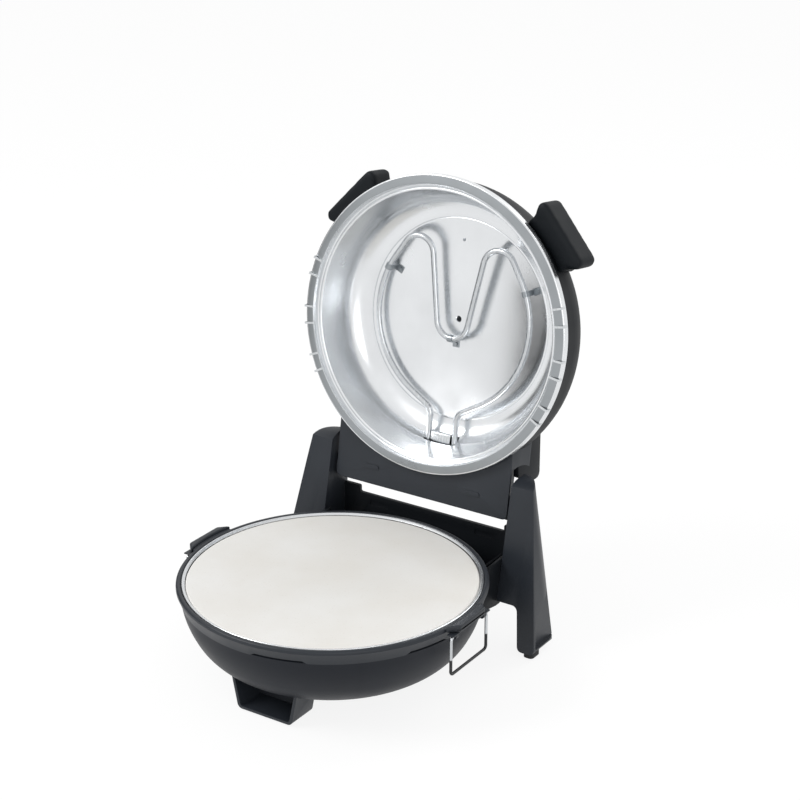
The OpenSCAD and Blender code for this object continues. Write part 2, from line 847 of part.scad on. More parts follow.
module hinge_housing() {
    top = 52;
    front = hinge_back - 128;
    back = hinge_back + 8.3;
    axis_z = hinge_up - lid_gap;
    color(plastic) in_lid()
        difference() {
            union() {
                intersection() {
                    translate([0, 0, housing_front]) linear_extrude(top - housing_front)
                        polygon(rounded(
                            [[-housing_half, front], [housing_half, front],
                             [housing_half, back], [-housing_half, back]],
                            [0, 0, 6, 6]));
                    translate([-huge / 2, 0, 0]) rotate([90, 0, 90])
                        linear_extrude(huge)
                            polygon(rounded(
                                [[front, housing_front], [back, housing_front], [hinge_back + 12, 22],
                                 [hinge_back + 12, top - 6], [hinge_back - 18, top + 14], [front, top + 14]],
                                [0, 2, 6, 12, 12, 0]));
                }
                mirrored()
                    translate([66, hinge_back - 12, housing_front]) linear_extrude(2.4, center = true)
                        polygon(rounded(
                            [[-10, -2.5], [10, -2.5], [10, 2.5], [-10, 2.5]],
                            [2.4, 2.4, 2.4, 2.4]));
            }
            dome_solid(touch);
            translate([0, shell_shift, -1]) cylinder(h = shell_start + 5, r = lid_radius + touch);
            mirrored() {
                intersection() {
                    translate([housing_box, hinge_back, axis_z]) rotate([0, 90, 0])
                        cylinder(h = housing_half, r = claw_radius);
                    translate([housing_box, hinge_back - 88, housing_front + wall]) cube(150);
                }
                translate([housing_box - 12, hinge_back, axis_z]) rotate([0, 90, 0])
                    cylinder(h = 14, r = pin_radius + pin_clearance);
            }
        }
}

module housing_screws() {
    color(steel) in_lid() mirrored()
        for (x = [30, 75])
            translate([x, hinge_back - 6, 52]) cylinder(h = 2, r = 3.6);
}

// Grip block on the side of the lid, turned away from the front by an angle
module grip_solid(angle) {
    half = grip_length / 2;
    root = lid_radius - 40.5;
    tip = lid_radius + grip_reach;
    front = shell_start + 6;
    difference() {
        rotate(angle - 90)
            difference() {
                translate([0, 0, front])
                    linear_extrude(grip_height)
                        polygon(rounded(
                            [[root, 9 - half], [tip - 19, 9 - half], [tip - 7, -half], [tip, 4 - half],
                             [tip, half - 4], [tip - 7, half], [tip - 19, half - 9], [root, half - 9]],
                            [0, 8, 5, 4, 4, 5, 8, 0]));
                for (groove = [11, 17])
                    translate([tip - groove, -half, front - 1]) cube([2.4, grip_length, 2.4]);
            }
        dome_solid(touch);
    }
}

module lid_grip_left() {
    color(dark_plastic) in_lid() grip_solid(-grip_angle);
}

module lid_grip_right() {
    color(dark_plastic) in_lid() grip_solid(grip_angle);
}

module grip_screws() {
    color(steel) in_lid()
        for (side = [-1, 1])
            rotate(-90 + side * grip_angle)
                for (y = [-18, 18])
                    translate([lid_radius + grip_reach - 13, y, shell_start + 6 + grip_height])
                        cylinder(h = 1.8, r = 3.2);
}

base_shell();
base_rim();
base_liner();
base_heater();
base_heater_clips();
base_heater_plate();
bottom_cover();
cover_screws();
front_foot();
front_foot_pads();
rear_frame();
arm_left();
arm_right();
leg_pad_left();
leg_pad_right();
hinge_pins();
frame_screws();
bail_hanger_left();
bail_hanger_right();
cord_gland();
limit_thermostat();
pizza_stone();
bail_left();
bail_right();
lid_shell();
lid_rim_ring();
lid_liner();
liner_clips();
lid_heater();
lid_heater_clips();
lid_heater_plate();
lid_thermostat();
hinge_housing();
housing_screws();
lid_grip_left();
lid_grip_right();
grip_screws();
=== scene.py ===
import bpy, bmesh, json
from math import cos, pi, radians, sin, sqrt
from mathutils import Matrix, Vector


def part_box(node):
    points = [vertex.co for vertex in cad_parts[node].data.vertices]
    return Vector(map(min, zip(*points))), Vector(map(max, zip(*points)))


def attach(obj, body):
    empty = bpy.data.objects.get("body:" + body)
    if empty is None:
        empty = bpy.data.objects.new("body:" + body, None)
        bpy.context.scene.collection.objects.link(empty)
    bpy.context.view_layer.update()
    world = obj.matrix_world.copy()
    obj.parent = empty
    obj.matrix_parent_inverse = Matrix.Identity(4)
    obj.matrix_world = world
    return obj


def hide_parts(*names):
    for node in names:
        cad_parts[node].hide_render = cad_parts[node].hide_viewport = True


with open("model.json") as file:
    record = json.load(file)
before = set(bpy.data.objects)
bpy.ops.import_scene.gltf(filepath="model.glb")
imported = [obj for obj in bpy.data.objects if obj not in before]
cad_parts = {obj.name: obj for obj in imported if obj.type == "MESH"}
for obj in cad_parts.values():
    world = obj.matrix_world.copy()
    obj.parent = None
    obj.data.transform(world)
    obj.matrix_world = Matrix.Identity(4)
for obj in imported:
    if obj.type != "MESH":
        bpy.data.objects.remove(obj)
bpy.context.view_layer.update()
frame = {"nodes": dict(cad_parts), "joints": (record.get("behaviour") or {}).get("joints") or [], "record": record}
print("frame loaded:", len(frame["nodes"]), "nodes")

# places taken from the frame, in metres
mm = 0.001
stoneDrop = 2 * mm                                # the stone lies this far below the rim
lidGap = 1.0                                      # mm between rim and lid when shut
dipHeight = 19 * mm                               # how far up the hanging bail its vinyl reaches
joints = {j["name"]: j for j in frame["joints"]}
stoneLow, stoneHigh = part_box("pizza_stone")
baseY = (stoneLow.y + stoneHigh.y) / 2
rimZ = stoneHigh.z + stoneDrop
hingePoint = Vector(joints["lid_hinge"]["pos_m"])
hingeBack = (hingePoint.y - baseY) / mm
hingeUp = (hingePoint.z - rimZ) / mm
openAngle = radians(joints["lid_hinge"]["range_deg"][1])

# base pieces are drawn in mm from the middle of the rim, lid pieces as if the lid were shut
baseFrame = Matrix.Translation((0, baseY, rimZ)) @ Matrix.Scale(mm, 4)
lidFrame = (Matrix.Translation(hingePoint) @ Matrix.Rotation(-openAngle, 4, "X")
            @ Matrix.Scale(mm, 4) @ Matrix.Translation((0, -hingeBack, lidGap - hingeUp)))

# angles in degrees, distances in metres, lens and sensor in millimetres
cameraSetup = {"azimuth": 33.4, "elevation": 22.0, "distance": 2.2, "aside": 0.0708, "above": 0.1855,
               "lens": 93.96, "sensor": 36, "farClip": 50}


def makeCamera(setup):
    az, el = radians(setup["azimuth"]), radians(setup["elevation"])
    back = Vector((sin(az) * cos(el), -cos(az) * cos(el), sin(el)))
    right = Vector((cos(az), sin(az), 0))
    up = back.cross(right)
    data = bpy.data.cameras.new("camera")
    data.lens, data.sensor_width, data.clip_end = setup["lens"], setup["sensor"], setup["farClip"]
    cam = bpy.data.objects.new("camera", data)
    turn = Matrix((right, up, back)).transposed().to_4x4()
    place = back * setup["distance"] + right * setup["aside"] + up * setup["above"]
    cam.matrix_world = Matrix.Translation(place + Vector((0, baseY, rimZ))) @ turn
    bpy.context.scene.collection.objects.link(cam)
    bpy.context.scene.camera = cam


makeCamera(cameraSetup)


# colours and shader nodes
def linear(hexColour):
    channels = [int(hexColour[i:i + 2], 16) / 255 for i in (1, 3, 5)]
    return [c / 12.92 if c <= 0.04045 else ((c + 0.055) / 1.055) ** 2.4 for c in channels] + [1.0]


def shade(hexColour, amount):
    return [min(1, c * amount) for c in linear(hexColour)[:3]] + [1]


def addNode(tree, kind, settings=None, links=None):
    node = tree.nodes.new(kind)
    for name, value in (settings or {}).items():
        if isinstance(name, str) and hasattr(node, name):
            setattr(node, name, value)
        else:
            node.inputs[name].default_value = value
    for name, (source, output) in (links or {}).items():
        tree.links.new(source.outputs[output], node.inputs[name])
    return node


def startMaterial(name):
    material = bpy.data.materials.new(name)
    material.use_nodes = True
    tree = material.node_tree
    tree.nodes.clear()
    place = (addNode(tree, "ShaderNodeTexCoord"), "Object")
    return material, tree, place


def finishMaterial(tree, shader):
    addNode(tree, "ShaderNodeOutputMaterial", links={"Surface": (shader, 0)})


def spread(tree, source, low, high, fromLow=0.3, fromHigh=0.7):
    return addNode(tree, "ShaderNodeMapRange",
                   {"From Min": fromLow, "From Max": fromHigh, "To Min": low, "To Max": high},
                   {"Value": (source, 0)})


def blend(tree, factor, low, high):
    tint = addNode(tree, "ShaderNodeMix", {"data_type": "RGBA"}, {"Factor": (factor, 0)})
    tint.inputs[6].default_value = low
    tint.inputs[7].default_value = high
    return tint


def noise(tree, vector, scale, detail):
    return addNode(tree, "ShaderNodeTexNoise", {"Scale": scale, "Detail": detail}, {"Vector": vector})


def relief(tree, source, strength, depthMm):
    return addNode(tree, "ShaderNodeBump", {"Strength": strength, "Distance": depthMm * mm},
                   {"Height": (source, 0)})


def surface(tree, tint, bump, settings=None, links=None):
    shader = addNode(tree, "ShaderNodeBsdfPrincipled", settings,
                     {"Base Color": (tint, 2), "Normal": (bump, 0), **(links or {})})
    finishMaterial(tree, shader)


# ABS, injection moulded in a spark-eroded tool: a fine even grain, satin on the crowns;
# the real grain of 0.2 mm is drawn coarser, so that it shows
def mouldedAbs(name, colour, roughness=0.42, gloss=0.3, grainMm=0.7, grainDepth=0.05):
    material, tree, place = startMaterial(name)
    grain = noise(tree, place, 500 / grainMm, 2.0)
    flow = noise(tree, place, 18.0, 3.0)
    tint = blend(tree, spread(tree, flow, 0.0, 1.0), shade(colour, 0.9), shade(colour, 1.1))
    sheen = spread(tree, flow, roughness - 0.05, roughness + 0.06)
    surface(tree, tint, relief(tree, grain, 0.35, grainDepth), {"IOR": 1.53, "Specular IOR Level": gloss},
            {"Roughness": (sheen, 0)})
    return material


# stainless sheet, spun over a former: faint rings round the axis of the dish
def spunSteel(name, colour, middle, turn, roughness=0.24, ringMm=1.6, ringDepth=0.02):
    material, tree, place = startMaterial(name)
    local = addNode(tree, "ShaderNodeMapping",
                    {"vector_type": "TEXTURE", "Location": middle, "Rotation": turn}, {"Vector": place})
    flat = addNode(tree, "ShaderNodeVectorMath", {"operation": "MULTIPLY", 1: (1, 1, 0)}, {0: (local, 0)})
    reach = addNode(tree, "ShaderNodeVectorMath", {"operation": "LENGTH"}, {0: (flat, 0)})
    rings = addNode(tree, "ShaderNodeTexNoise",
                    {"noise_dimensions": "1D", "Scale": 1000 / ringMm, "Detail": 3.0},
                    {"W": (reach, "Value")})
    cloud = noise(tree, place, 22.0, 3.0)
    tint = blend(tree, spread(tree, cloud, 0.0, 1.0), shade(colour, 0.95), shade(colour, 1.03))
    sheen = spread(tree, cloud, roughness - 0.04, roughness + 0.06)
    surface(tree, tint, relief(tree, rings, 0.25, ringDepth), {"Metallic": 1.0}, {"Roughness": (sheen, 0)})
    return material


# drawn or pressed steel: fine scratches along the part
def drawnSteel(name, colour, roughness=0.28, scratchMm=0.6):
    material, tree, place = startMaterial(name)
    stretch = addNode(tree, "ShaderNodeMapping", {"Scale": (1, 0.15, 0.15)}, {"Vector": place})
    scratch = noise(tree, (stretch, 0), 500 / scratchMm, 3.0)
    tint = blend(tree, spread(tree, scratch, 0.0, 1.0), shade(colour, 0.9), shade(colour, 1.05))
    sheen = spread(tree, scratch, roughness - 0.05, roughness + 0.05)
    surface(tree, tint, relief(tree, scratch, 0.2, 0.03), {"Metallic": 1.0}, {"Roughness": (sheen, 0)})
    return material


# nickel-plated wire, its lower loop dipped in black vinyl: bright above the level, dark and satin below
def dippedWire(name, steel, vinyl, level, steelRoughness=0.16, vinylRoughness=0.45):
    material, tree, place = startMaterial(name)
    parted = addNode(tree, "ShaderNodeSeparateXYZ", links={"Vector": place})
    ripple = noise(tree, place, 400.0, 2.0)
    coated = addNode(tree, "ShaderNodeMapRange",
                     {"From Min": level + 0.5 * mm, "From Max": level - 0.5 * mm}, {"Value": (parted, "Z")})
    bare = addNode(tree, "ShaderNodeMath", {"operation": "SUBTRACT", 0: 1.0}, {1: (coated, 0)})
    tint = blend(tree, coated, linear(steel), linear(vinyl))
    sheen = addNode(tree, "ShaderNodeMapRange", {"To Min": steelRoughness, "To Max": vinylRoughness},
                    {"Value": (coated, 0)})
    surface(tree, tint, relief(tree, ripple, 0.2, 0.03),
            links={"Metallic": (bare, 0), "Roughness": (sheen, 0)})
    return material


# cordierite baking stone: pale, dry, with fine grog specks
def cordierite(name, colour, speckColour, speckMm=1.4):
    material, tree, place = startMaterial(name)
    grit = noise(tree, place, 500 / speckMm, 4.0)
    cloud = noise(tree, place, 12.0, 4.0)
    specks = addNode(tree, "ShaderNodeTexVoronoi", {"Scale": 333 / speckMm}, {"Vector": place})
    warm = [c * s for c, s in zip(linear(colour)[:3], (0.96, 0.945, 0.92))] + [1]
    tint = blend(tree, spread(tree, cloud, 0.0, 1.0), warm, shade(colour, 1.02))
    speckle = blend(tree, spread(tree, specks, 0.3, 0.0, 0.05, 0.16), warm, linear(speckColour))
    tree.links.new(tint.outputs[2], speckle.inputs[6])
    surface(tree, speckle, relief(tree, grit, 0.4, 0.12), {"Roughness": 0.86, "IOR": 1.45})
    return material


# nitrile rubber, compression moulded: dull, slightly dusty
def mouldedRubber(name, colour):
    material, tree, place = startMaterial(name)
    dust = noise(tree, place, 300.0, 3.0)
    tint = blend(tree, spread(tree, dust, 0.0, 1.0), linear(colour), shade(colour, 1.5))
    surface(tree, tint, relief(tree, dust, 0.3, 0.06), {"Roughness": 0.75, "IOR": 1.5})
    return material


lidMiddle, lidTurn = lidFrame @ Vector((0, 0, 0)), (-openAngle, 0, 0)
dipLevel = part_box("bail_right")[0].z + dipHeight
finishes = {
    "bodyPlastic": mouldedAbs("abs_slate_moulded", "#282c32"),
    "bowlPlastic": mouldedAbs("abs_slate_bowl", "#202329", roughness=0.46, gloss=0.16),
    "darkPlastic": mouldedAbs("abs_black_moulded", "#15181c", roughness=0.52, gloss=0.2),
    "gripPlastic": mouldedAbs("abs_black_grip", "#15191d", roughness=0.55, gloss=0.14),
    "lidSteel": spunSteel("stainless_spun_lid", "#e4e6e8", lidMiddle, lidTurn, roughness=0.22),
    # painted shade: the flange steel is a darker copy of the lid steel, standing in for the darker reflection the
    # flange shows
    "flangeSteelPaintedShade": spunSteel("stainless_spun_flange_painted_shade", "#9da1a4", lidMiddle, lidTurn, roughness=0.3),
    "dishSteel": spunSteel("stainless_spun_base", "#d8dadc", (0, baseY, 0), (0, 0, 0)),
    "tubeSteel": drawnSteel("stainless_tube_satin", "#c9cccf", roughness=0.24),
    "bracketSteel": drawnSteel("steel_pressed_bright", "#d3d6d8", roughness=0.25),
    "screwSteel": drawnSteel("steel_zinc_plated", "#9a9fa3", roughness=0.3),
    "wire": dippedWire("steel_wire_vinyl_dipped", "#c4c7ca", "#17191c", dipLevel),
    "stone": cordierite("cordierite_pressed", "#eeedea", "#c4baa8"),
    "rubber": mouldedRubber("rubber_moulded", "#151618"),
}

nodeFinish = {
    "bodyPlastic": ["base_rim", "front_foot", "arm_left", "arm_right", "bail_hanger_left",
                    "bail_hanger_right", "hinge_housing"],
    "bowlPlastic": ["base_shell"],
    "darkPlastic": ["bottom_cover", "rear_frame", "lid_shell", "lid_rim_ring", "lid_thermostat"],
    "gripPlastic": ["lid_grip_left", "lid_grip_right"],
    "lidSteel": ["lid_liner"],
    "dishSteel": ["base_liner"],
    "tubeSteel": ["base_heater", "lid_heater"],
    "bracketSteel": ["base_heater_clips", "base_heater_plate", "limit_thermostat", "liner_clips",
                     "lid_heater_plate"],
    "screwSteel": ["lid_heater_clips", "cover_screws", "hinge_pins", "frame_screws", "housing_screws",
                   "grip_screws"],
    "wire": ["bail_left", "bail_right"],
    "stone": ["pizza_stone"],
    "rubber": ["front_foot_pads", "leg_pad_left", "leg_pad_right", "cord_gland"],
}
for finishName, names in nodeFinish.items():
    for name in names:
        mesh = frame["nodes"][name].data
        mesh.materials.clear()
        mesh.materials.append(finishes[finishName])
print("finishes set")

# making pieces
bodyOf = {node: body for body, nodes in frame["record"]["behaviour"]["bodies"].items() for node in nodes}


def addPiece(name, bm, finish, body, replaced=(), placement=None, sharpest=32):
    if placement is not None:
        bmesh.ops.transform(bm, matrix=placement, verts=bm.verts)
    mesh = bpy.data.meshes.new(name)
    bm.to_mesh(mesh)
    bm.free()
    for face in mesh.polygons:
        face.use_smooth = True
    mesh.set_sharp_from_angle(angle=radians(sharpest))
    mesh.materials.append(finish)
    piece = bpy.data.objects.new(name, mesh)
    bpy.context.scene.collection.objects.link(piece)
    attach(piece, body)
    if replaced:
        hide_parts(*replaced)
    return piece


def arc(centre, radius, start, end, steps=6):
    angles = [radians(start + (end - start) * i / steps) for i in range(steps + 1)]
    return [(centre[0] + radius * cos(a), centre[1] + radius * sin(a)) for a in angles]


# a line of (radius, height) spun round the axis, closed on itself or given a wall
def spunForm(path, thickness=0.0, closed=False, steps=192):
    bm = bmesh.new()
    verts = [bm.verts.new((r, 0, z)) for r, z in path]
    edges = [bm.edges.new(pair) for pair in zip(verts, verts[1:])]
    if closed:
        edges.append(bm.edges.new((verts[-1], verts[0])))
    bmesh.ops.spin(bm, geom=verts + edges, cent=(0, 0, 0), axis=(0, 0, 1), angle=2 * pi, steps=steps,
                   use_merge=True)
    bmesh.ops.remove_doubles(bm, verts=bm.verts, dist=0.001)
    bmesh.ops.recalc_face_normals(bm, faces=bm.faces)
    if thickness:
        bmesh.ops.solidify(bm, geom=bm.faces, thickness=thickness)
        if bm.calc_volume(signed=True) < 0:
            bmesh.ops.reverse_faces(bm, faces=bm.faces)
    return bm


# edges where the faces turn by more than so many degrees are rolled off
def rollEdges(bm, width, segments, turned=24):
    sharp = [e for e in bm.edges if len(e.link_faces) == 2 and e.calc_face_angle(0) > radians(turned)]
    bmesh.ops.bevel(bm, geom=sharp, offset=width, offset_type="OFFSET", affect="EDGES", segments=segments,
                    profile=0.5, clamp_overlap=True, material=-1)


# an outline extruded upwards, with its edges rolled off
def slab(outline, depth, edgeRadius, segments=3):
    bm = bmesh.new()
    face = bm.faces.new([bm.verts.new((x, y, 0)) for x, y in outline])
    top = bmesh.ops.extrude_face_region(bm, geom=[face])
    topVerts = [v for v in top["geom"] if isinstance(v, bmesh.types.BMVert)]
    bmesh.ops.translate(bm, verts=topVerts, vec=(0, 0, depth))
    bmesh.ops.recalc_face_normals(bm, faces=bm.faces)
    rollEdges(bm, edgeRadius, segments)
    return bm


def joined(parts):
    whole = bmesh.new()
    for bm, placement in parts:
        bmesh.ops.transform(bm, matrix=placement, verts=bm.verts)
        mesh = bpy.data.meshes.new("part")
        bm.to_mesh(mesh)
        bm.free()
        whole.from_mesh(mesh)
        bpy.data.meshes.remove(mesh)
    return whole


# an outline in (y, z), made a plate on the right and on the left side
def sidePlates(name, shape, outline, body):
    for end, side in (("Right", 1), ("Left", -1)):
        bm = slab(outline, shape["thickness"], shape["edge"])
        place = Matrix(((0, 0, side, side * shape["inner"]), (1, 0, 0, 0), (0, 1, 0, 0), (0, 0, 0, 1)))
        bmesh.ops.transform(bm, matrix=place, verts=bm.verts)
        bmesh.ops.recalc_face_normals(bm, faces=bm.faces)
        addPiece(name + end, bm, finishes["darkPlastic"], body, (), baseFrame)


# rounded mouldings: a merged copy of a node with its sharp edges rolled off, by so many mm
roundedEdges = {"arm_left": 1.6, "arm_right": 1.6, "hinge_housing": 1.2, "front_foot": 1.6,
                "rear_frame": 0.6}
mergeDistance = 2e-6                              # metres


def roundedCopy(node, width):
    bm = bmesh.new()
    bm.from_mesh(frame["nodes"][node].data)
    bmesh.ops.remove_doubles(bm, verts=bm.verts, dist=mergeDistance)
    bmesh.ops.dissolve_limit(bm, angle_limit=radians(0.6), verts=bm.verts, edges=bm.edges)
    rollEdges(bm, width * mm, 3)
    bmesh.ops.remove_doubles(bm, verts=bm.verts, dist=mergeDistance)
    bmesh.ops.recalc_face_normals(bm, faces=bm.faces)
    plastic = frame["nodes"][node].data.materials[0]
    addPiece(node + "_rounded", bm, plastic, bodyOf[node], [node])


for node, width in roundedEdges.items():
    roundedCopy(node, width)

# the grips are soft blocks: the solid is meshed evenly, its corners melt down and its faces swell a little
gripMelt = {"voxel": 0.0012, "passes": 70, "swell": 0.0012}       # voxel and swell in metres


def meltedCopy(node, melt):
    source = bpy.data.objects.new(node + "_source", frame["nodes"][node].data.copy())
    bpy.context.scene.collection.objects.link(source)
    remesh = source.modifiers.new("remesh", "REMESH")
    remesh.mode, remesh.voxel_size, remesh.use_smooth_shade = "VOXEL", melt["voxel"], True
    smooth = source.modifiers.new("smooth", "SMOOTH")
    smooth.factor, smooth.iterations = 0.5, melt["passes"]
    swell = source.modifiers.new("swell", "DISPLACE")
    swell.strength, swell.mid_level = melt["swell"], 0.0
    depsgraph = bpy.context.evaluated_depsgraph_get()
    bm = bmesh.new()
    bm.from_object(source, depsgraph)
    bpy.data.objects.remove(source)
    addPiece(node + "_melted", bm, finishes["gripPlastic"], bodyOf[node], [node], sharpest=80)


for node in ("lid_grip_left", "lid_grip_right"):
    meltedCopy(node, gripMelt)
print("mouldings rounded")

# spun steel dish of the lid: disc with a creased edge, cone, bead, ledge and coned flange
lidDishShape = {
    "hole": 3.0, "discDepth": 61.0, "creaseRadius": 112.2, "creaseHeight": 0.7, "cornerCentre": (114.0, 34.0),
    "cornerRadius": 27.0, "throat": 147.2, "beadCentre": (149.0, 8.6), "beadRadius": 1.8, "step": 153.6,
    "flangeRise": 2.4, "rimRadius": 163.6, "rollRadius": 1.3, "skirt": 10.0, "sheet": 0.9,
    "windowHalf": 20.0, "windowNear": 42.0, "windowFar": 54.0, "windowBehind": 120, "cutHalf": 45,
}


# faces of the cone at the window for the heater's ends, with their middles
def coneFaces(bm, behind, halfWidth):
    centred = [(f, f.calc_center_median()) for f in bm.faces]
    return [(f, c) for f, c in centred if c.y > behind and abs(c.x) < halfWidth]


def makeLidDish(d):
    low, crease, step = d["discDepth"], d["creaseRadius"], d["step"]
    raised, beadDepth = low - d["creaseHeight"], d["beadCentre"][1]
    path = [(d["hole"], low + 0.9), (d["hole"] + 0.7, low)]
    path += [(crease - 1.9, low), (crease - 0.8, raised), (crease + 0.8, raised), (crease + 1.7, low)]
    path += arc(d["cornerCentre"], d["cornerRadius"], 84, 6, 14)
    path += [(d["throat"], beadDepth + 1.4)]
    path += arc(d["beadCentre"], d["beadRadius"], 180, 350, 8)
    path += [(step - 1.6, beadDepth + 0.3), (step - 0.4, beadDepth - 0.4), (step, beadDepth - 1.6)]
    path += [(step + 0.3, 1.5), (step + 0.9, 0.5), (step + 2.0, 0.3)]
    path += arc((d["rimRadius"], d["flangeRise"] + d["rollRadius"]), d["rollRadius"], 255, 360, 6)
    path += [(d["rimRadius"] + d["rollRadius"], d["skirt"])]
    bm = spunForm(path, steps=256)
    half, near, far, behind = d["windowHalf"], d["windowNear"], d["windowFar"], d["windowBehind"]
    for point, normal in (((half, 0, 0), (1, 0, 0)), ((-half, 0, 0), (1, 0, 0)),
                          ((0, 0, near), (0, 0, 1)), ((0, 0, far), (0, 0, 1))):
        around = [f for f, centre in coneFaces(bm, behind, d["cutHalf"])]
        geom = around + list({e for f in around for e in f.edges})
        geom += list({v for f in around for v in f.verts})
        bmesh.ops.bisect_plane(bm, geom=geom, dist=0.001, plane_co=point, plane_no=normal)
    inWindow = [f for f, centre in coneFaces(bm, behind, half) if near < centre.z < far]
    bmesh.ops.delete(bm, geom=inWindow, context="FACES")
    bmesh.ops.recalc_face_normals(bm, faces=bm.faces)
    bmesh.ops.solidify(bm, geom=bm.faces, thickness=d["sheet"])
    for face in bm.faces:
        middle = face.calc_center_median()
        reach = sqrt(middle.x ** 2 + middle.y ** 2)
        if step + 1.0 < reach < d["rimRadius"] - 0.2 and middle.z < beadDepth:
            face.material_index = 1               # the flange gets a rougher, darker copy of the dish steel; its darker colour is painted shade for the flange's darker reflection
    dish = addPiece("lidDish", bm, finishes["lidSteel"], "lid", ["lid_liner"], lidFrame, 40)
    dish.data.materials.append(finishes["flangeSteelPaintedShade"])


makeLidDish(lidDishShape)

# bracket that carries the ends of the lid heater: an upright plate and a tab between the legs
bracketShape = {"halfWidth": 29.0, "height": 13.0, "corner": 2.0, "sheet": 1.2, "back": 142.0, "depth": 48.0,
                "tabHalf": 12.6, "tabFront": 130.5, "tabLip": 2.2, "tabDrop": 1.5}


def makeBracket(b):
    sheet, lip = b["sheet"], b["tabLip"]
    x, y = b["halfWidth"] - b["corner"], b["height"] / 2 - b["corner"]
    corners = (((x, y), 0), ((-x, y), 90), ((-x, -y), 180), ((x, -y), 270))
    outline = [p for centre, start in corners for p in arc(centre, b["corner"], start, start + 90)]
    plate = slab(outline, sheet, 0.3)
    upright = (Matrix.Translation((0, b["back"] + sheet / 2, b["depth"]))
               @ Matrix.Rotation(radians(90), 4, "X"))
    bend = (b["back"] - b["tabFront"], sheet - lip)
    section = [(0, 0), (0, sheet)] + arc(bend, lip, 90, 0, 4)
    section += [(bend[0] + lip, -lip * 1.6), (bend[0] + lip - sheet, -lip * 1.6)]
    section += arc(bend, lip - sheet, 0, 90, 4)
    tab = slab(section, 2 * b["tabHalf"], 0.25)
    forward = (Matrix.Translation((-b["tabHalf"], b["back"], b["depth"] - b["tabDrop"]))
               @ Matrix(((0, 0, 1, 0), (-1, 0, 0, 0), (0, -1, 0, 0), (0, 0, 0, 1))))
    addPiece("heaterBracket", joined([(plate, upright), (tab, forward)]), finishes["bracketSteel"], "lid",
             ["lid_heater_plate"], lidFrame, 30)


makeBracket(bracketShape)

# blind rivet near the front of the disc
rivetShape = {"x": -2.3, "y": -88.8, "seat": 61.0, "radius": 1.7, "rise": 1.1, "sink": 0.4}


def makeRivet(v):
    radius, seat, rise = v["radius"], v["seat"], v["rise"]
    path = [(0, seat + v["sink"]), (radius, seat + v["sink"]), (radius, seat - 0.2)]
    path += [(radius * 0.75, seat - rise * 0.8), (radius * 0.3, seat - rise), (0, seat - rise)]
    addPiece("discRivet", spunForm(path, steps=24), finishes["screwSteel"], "lid", (),
             lidFrame @ Matrix.Translation((v["x"], v["y"], 0)))


makeRivet(rivetShape)
print("lid dish made")

# bright lip round the stone, and the band with its ear pads and the finger notches in its foot
rimShape = {"lipRadius": 158.1, "lipRound": 1.25, "lipWidth": 2.6, "inner": 156.9, "seat": 159.7,
            "outer": 165.0, "crown": 2.8, "bandFoot": 160.3, "bandLow": -17.0}
notchShape = {"turns": ((-86, -64), (-28, -9)), "rise": 2.6, "blend": 2.0}
earShape = {"tipRadius": 5.5, "tipReach": 168.0, "tipAside": 21.5, "halfTurn": 12, "low": -4.9,
            "steps": ((163.2, 4.7, 1.2), (166.4, 7.4, 2.2))}       # inner radius, height, edge


def makeLip(r):
    lip = arc((r["lipRadius"], -r["lipRound"] - 0.1), r["lipRound"], 120, -60, 8)
    inside = r["lipRadius"] - r["lipWidth"]
    bead = spunForm([(inside, -2.6), (inside, -2.0)] + lip, closed=True)
    addPiece("dishLip", bead, finishes["dishSteel"], "base", (), baseFrame)


def cutNotches(bm, n, low):
    for vert in bm.verts:
        turn = Vector((vert.co.x, vert.co.y)).angle_signed(Vector((1, 0))) * 180 / pi
        for start, end in n["turns"]:
            inside = min(turn - start, end - turn) / n["blend"]
            if vert.co.z < low + 2 and inside > 0:
                vert.co.z += n["rise"] * min(1, inside)


def makeBand(r, n, e):
    inner, seat, outer, foot, low = r["inner"], r["seat"], r["outer"], r["bandFoot"], r["bandLow"]
    path = [(inner, -11), (inner, -3.4), (seat, -3.0), (seat, -1.2), (seat + 0.8, -0.3)]
    path += arc((outer - r["crown"], -r["crown"]), r["crown"], 90, 0, 7)
    path += [(outer, -4.2), (outer - 0.5, -4.7), (foot + 0.6, low + 1.6)]
    path += [(foot + 0.2, low + 0.4), (foot - 0.7, low), (foot - 3, low)]
    path += [(161.2, -7), (159.9, -6), (159.9, -11)]
    bm = spunForm(path, closed=True, steps=360)
    cutNotches(bm, n, low)
    parts = [(bm, Matrix.Identity(4))]
    tip = (arc((e["tipReach"], -e["tipAside"]), e["tipRadius"], -60, 0, 5)
           + arc((e["tipReach"], e["tipAside"]), e["tipRadius"], 0, 60, 5))
    for turn in (0, 180):
        place = Matrix.Rotation(radians(turn), 4, "Z") @ Matrix.Translation((0, 0, e["low"]))
        for inside, depth, edge in e["steps"]:
            pad = slab(tip + arc((0, 0), inside, e["halfTurn"], -e["halfTurn"], 12), depth, edge, 4)
            parts.append((pad, place))
    addPiece("rimBand", joined(parts), finishes["bodyPlastic"], "base", ["base_rim"],
             baseFrame)


makeLip(rimShape)
makeBand(rimShape, notchShape, earShape)

# bowl: a quarter round from the flat bottom, flared a little towards the band
bowlShape = {"flat": 91.5, "side": 62.0, "depth": 84.0, "top": -17.8, "flare": 4.0, "flareLow": -50.0,
             "hole": 74.0, "wall": 2.6, "flareSteps": 26}


def makeBowl(b):
    path = []
    top, low, middle = b["top"], b["flareLow"], b["side"] - b["depth"]
    for i in range(b["flareSteps"] + 1):
        z = top + (low - top) * i / b["flareSteps"]
        side = b["flat"] + sqrt(b["side"] ** 2 - max(0, middle - z) ** 2)
        path.append((side + b["flare"] * ((z - low) / (top - low)) ** 1.5, z))
    path += [p for p in arc((b["flat"], middle), b["side"], 0, -90, 40) if p[1] < low - 1]
    path = [(path[0][0] - 5, path[0][1] + 1.5)] + path + [(b["hole"], -b["depth"])]
    addPiece("bowlShell", spunForm(path, -b["wall"], steps=256), finishes["bowlPlastic"], "base",
             ["base_shell"], baseFrame)


makeBowl(bowlShape)

